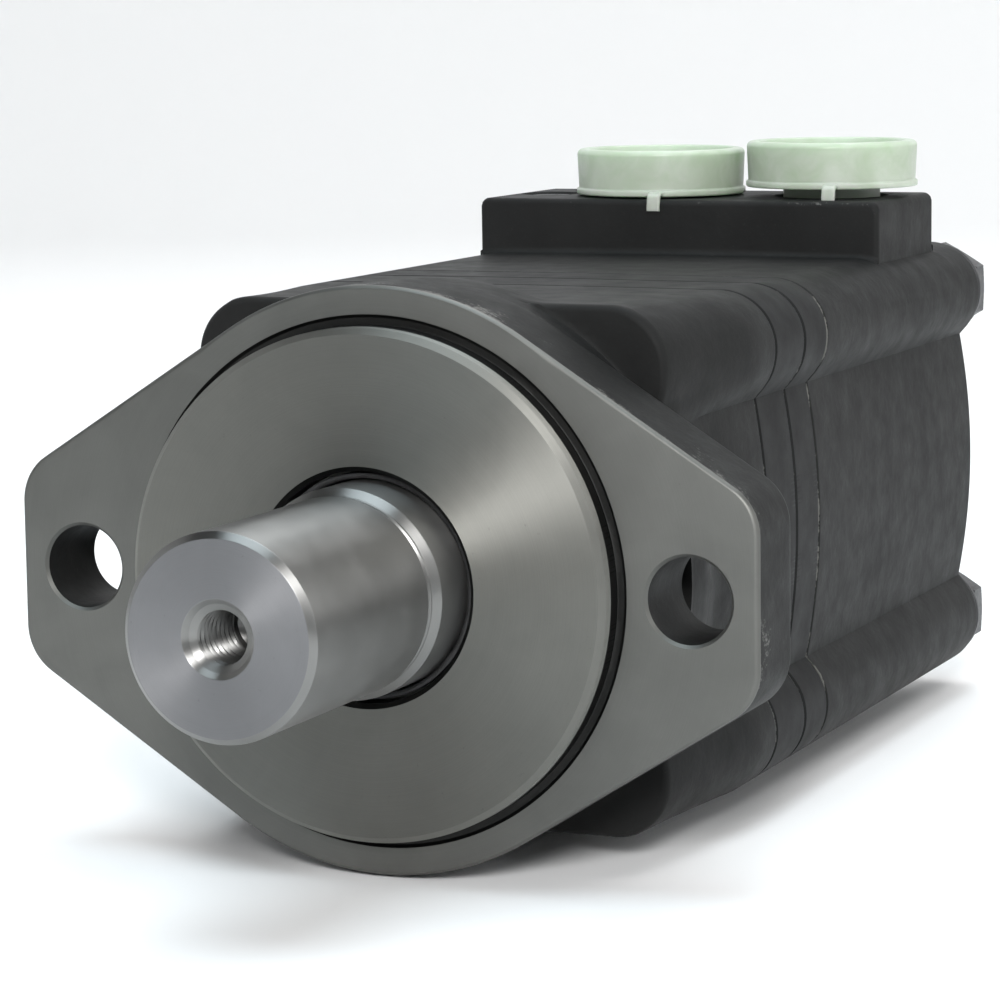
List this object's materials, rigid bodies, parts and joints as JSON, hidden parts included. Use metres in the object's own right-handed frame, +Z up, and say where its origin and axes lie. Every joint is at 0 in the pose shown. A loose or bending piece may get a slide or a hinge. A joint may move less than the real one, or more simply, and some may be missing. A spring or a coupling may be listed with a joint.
{
  "type": "hydraulic motor",
  "caption": "Roller-gerotor hydraulic motor with a two-bolt pilot flange, a plain shaft, a squared body and capped ports on top.",
  "frame": {"origin": "on the shaft axis, in the plane of the mounting flange's front face", "axes": "+Y runs from the flange to the rear of the motor, so the shaft's free end points along -Y. +Z points up through the port face, and +X completes the right-handed frame along the line of the two flange bolts."},
  "size_m": [0.1292, 0.2498, 0.1118],
  "materials": {
    "painted_casting": "satin dark grey paint with bare machined flange faces",
    "painted_steel": "satin dark grey paint on the outside",
    "shaft_steel": "turned steel",
    "ground_steel": "ground and oiled",
    "forged_steel": "dark heat-treated steel",
    "bronze": "satin bronze",
    "seal_rubber": "matte",
    "bolt_steel": "black oxide",
    "cap_plastic": "translucent pale green polyethylene"
  },
  "bodies": {
    "housing": {"front_housing": "painted_casting", "valve_housing": "painted_casting", "geroler_ring": "painted_steel", "valve_plate": "painted_steel", "wear_plate": "ground_steel", "dust_seal": "seal_rubber", "shaft_seal": "seal_rubber", "o_ring_front": "seal_rubber", "o_ring_plate": "seal_rubber", "front_outer_race": "ground_steel", "rear_outer_race": "ground_steel", "balance_ring": "bronze", "balance_spring_1": "shaft_steel", "balance_spring_2": "shaft_steel", "through_bolt_1": "bolt_steel", "through_bolt_2": "bolt_steel", "through_bolt_3": "bolt_steel", "through_bolt_4": "bolt_steel", "drain_plug": "bolt_steel"},
    "shaft": {"output_shaft": "shaft_steel", "front_inner_race": "ground_steel", "rear_inner_race": "ground_steel"},
    "front_cage": {"front_rollers": "bronze"},
    "rear_cage": {"rear_rollers": "bronze"},
    "orbit": {"drive_spacer": "bronze"},
    "star_body": {"star": "ground_steel"},
    "main_link": {"main_drive": "forged_steel"},
    "valve_link": {"valve_drive": "forged_steel"},
    "valve_disc": {"disc_valve": "ground_steel"},
    "roller_1": {"geroler_roller_1": "ground_steel"},
    "roller_2": {"geroler_roller_2": "ground_steel"},
    "roller_3": {"geroler_roller_3": "ground_steel"},
    "roller_4": {"geroler_roller_4": "ground_steel"},
    "roller_5": {"geroler_roller_5": "ground_steel"},
    "roller_6": {"geroler_roller_6": "ground_steel"},
    "roller_7": {"geroler_roller_7": "ground_steel"},
    "cap_left": {"port_cap_left": "cap_plastic"},
    "cap_right": {"port_cap_right": "cap_plastic"}
  },
  "joints": [
    {"name": "shaft_turn", "type": "hinge", "parent": "housing", "child": "shaft", "pos_m": [0, 0, 0], "axis": [0, 1, 0], "continuous": true},
    {"name": "front_cage_turn", "type": "hinge", "parent": "housing", "child": "front_cage", "pos_m": [0, 0.015, 0], "axis": [0, 1, 0], "continuous": true},
    {"name": "rear_cage_turn", "type": "hinge", "parent": "housing", "child": "rear_cage", "pos_m": [0, 0.042, 0], "axis": [0, 1, 0], "continuous": true},
    {"name": "orbit_turn", "type": "hinge", "parent": "housing", "child": "orbit", "pos_m": [0, 0.0694, 0], "axis": [0, 1, 0], "continuous": true},
    {"name": "star_turn", "type": "hinge", "parent": "orbit", "child": "star_body", "pos_m": [0, 0.0688, 0.0029], "axis": [0, 1, 0], "continuous": true},
    {"name": "main_link_turn", "type": "hinge", "parent": "orbit", "child": "main_link", "pos_m": [0, 0.036, 0], "axis": [0, 0.9951, 0.0985], "continuous": true},
    {"name": "valve_link_turn", "type": "hinge", "parent": "orbit", "child": "valve_link", "pos_m": [0, 0.0732, 0.0029], "axis": [0, 0.9935, -0.1139], "continuous": true},
    {"name": "valve_turn", "type": "hinge", "parent": "housing", "child": "valve_disc", "pos_m": [0, 0.096, 0], "axis": [0, 1, 0], "continuous": true},
    {"name": "roller_1_turn", "type": "hinge", "parent": "housing", "child": "roller_1", "pos_m": [0, 0.0688, 0.03], "axis": [0, 1, 0], "continuous": true},
    {"name": "roller_2_turn", "type": "hinge", "parent": "housing", "child": "roller_2", "pos_m": [0.02345, 0.0688, 0.0187], "axis": [0, 1, 0], "continuous": true},
    {"name": "roller_3_turn", "type": "hinge", "parent": "housing", "child": "roller_3", "pos_m": [0.02925, 0.0688, -0.00668], "axis": [0, 1, 0], "continuous": true},
    {"name": "roller_4_turn", "type": "hinge", "parent": "housing", "child": "roller_4", "pos_m": [0.01302, 0.0688, -0.02703], "axis": [0, 1, 0], "continuous": true},
    {"name": "roller_5_turn", "type": "hinge", "parent": "housing", "child": "roller_5", "pos_m": [-0.01302, 0.0688, -0.02703], "axis": [0, 1, 0], "continuous": true},
    {"name": "roller_6_turn", "type": "hinge", "parent": "housing", "child": "roller_6", "pos_m": [-0.02925, 0.0688, -0.00668], "axis": [0, 1, 0], "continuous": true},
    {"name": "roller_7_turn", "type": "hinge", "parent": "housing", "child": "roller_7", "pos_m": [-0.02345, 0.0688, 0.0187], "axis": [0, 1, 0], "continuous": true},
    {"name": "cap_left_pull", "type": "slide", "parent": "housing", "child": "cap_left", "axis": [0, 0, 1], "range_m": [0, 0.03]},
    {"name": "cap_right_pull", "type": "slide", "parent": "housing", "child": "cap_right", "axis": [0, 0, 1], "range_m": [0, 0.03]}
  ],
  "couplings": [
    {"joint": "front_cage_turn", "follows": "shaft_turn", "ratio": 0.45},
    {"joint": "rear_cage_turn", "follows": "shaft_turn", "ratio": 0.46},
    {"joint": "orbit_turn", "follows": "shaft_turn", "ratio": -6},
    {"joint": "star_turn", "follows": "shaft_turn", "ratio": 7},
    {"joint": "main_link_turn", "follows": "shaft_turn", "ratio": 7},
    {"joint": "valve_link_turn", "follows": "shaft_turn", "ratio": 7},
    {"joint": "valve_turn", "follows": "shaft_turn", "ratio": 1},
    {"joint": "roller_1_turn", "follows": "shaft_turn", "ratio": -3.72},
    {"joint": "roller_2_turn", "follows": "shaft_turn", "ratio": -3.72},
    {"joint": "roller_3_turn", "follows": "shaft_turn", "ratio": -3.72},
    {"joint": "roller_4_turn", "follows": "shaft_turn", "ratio": -3.72},
    {"joint": "roller_5_turn", "follows": "shaft_turn", "ratio": -3.72},
    {"joint": "roller_6_turn", "follows": "shaft_turn", "ratio": -3.72},
    {"joint": "roller_7_turn", "follows": "shaft_turn", "ratio": -3.72}
  ]
}
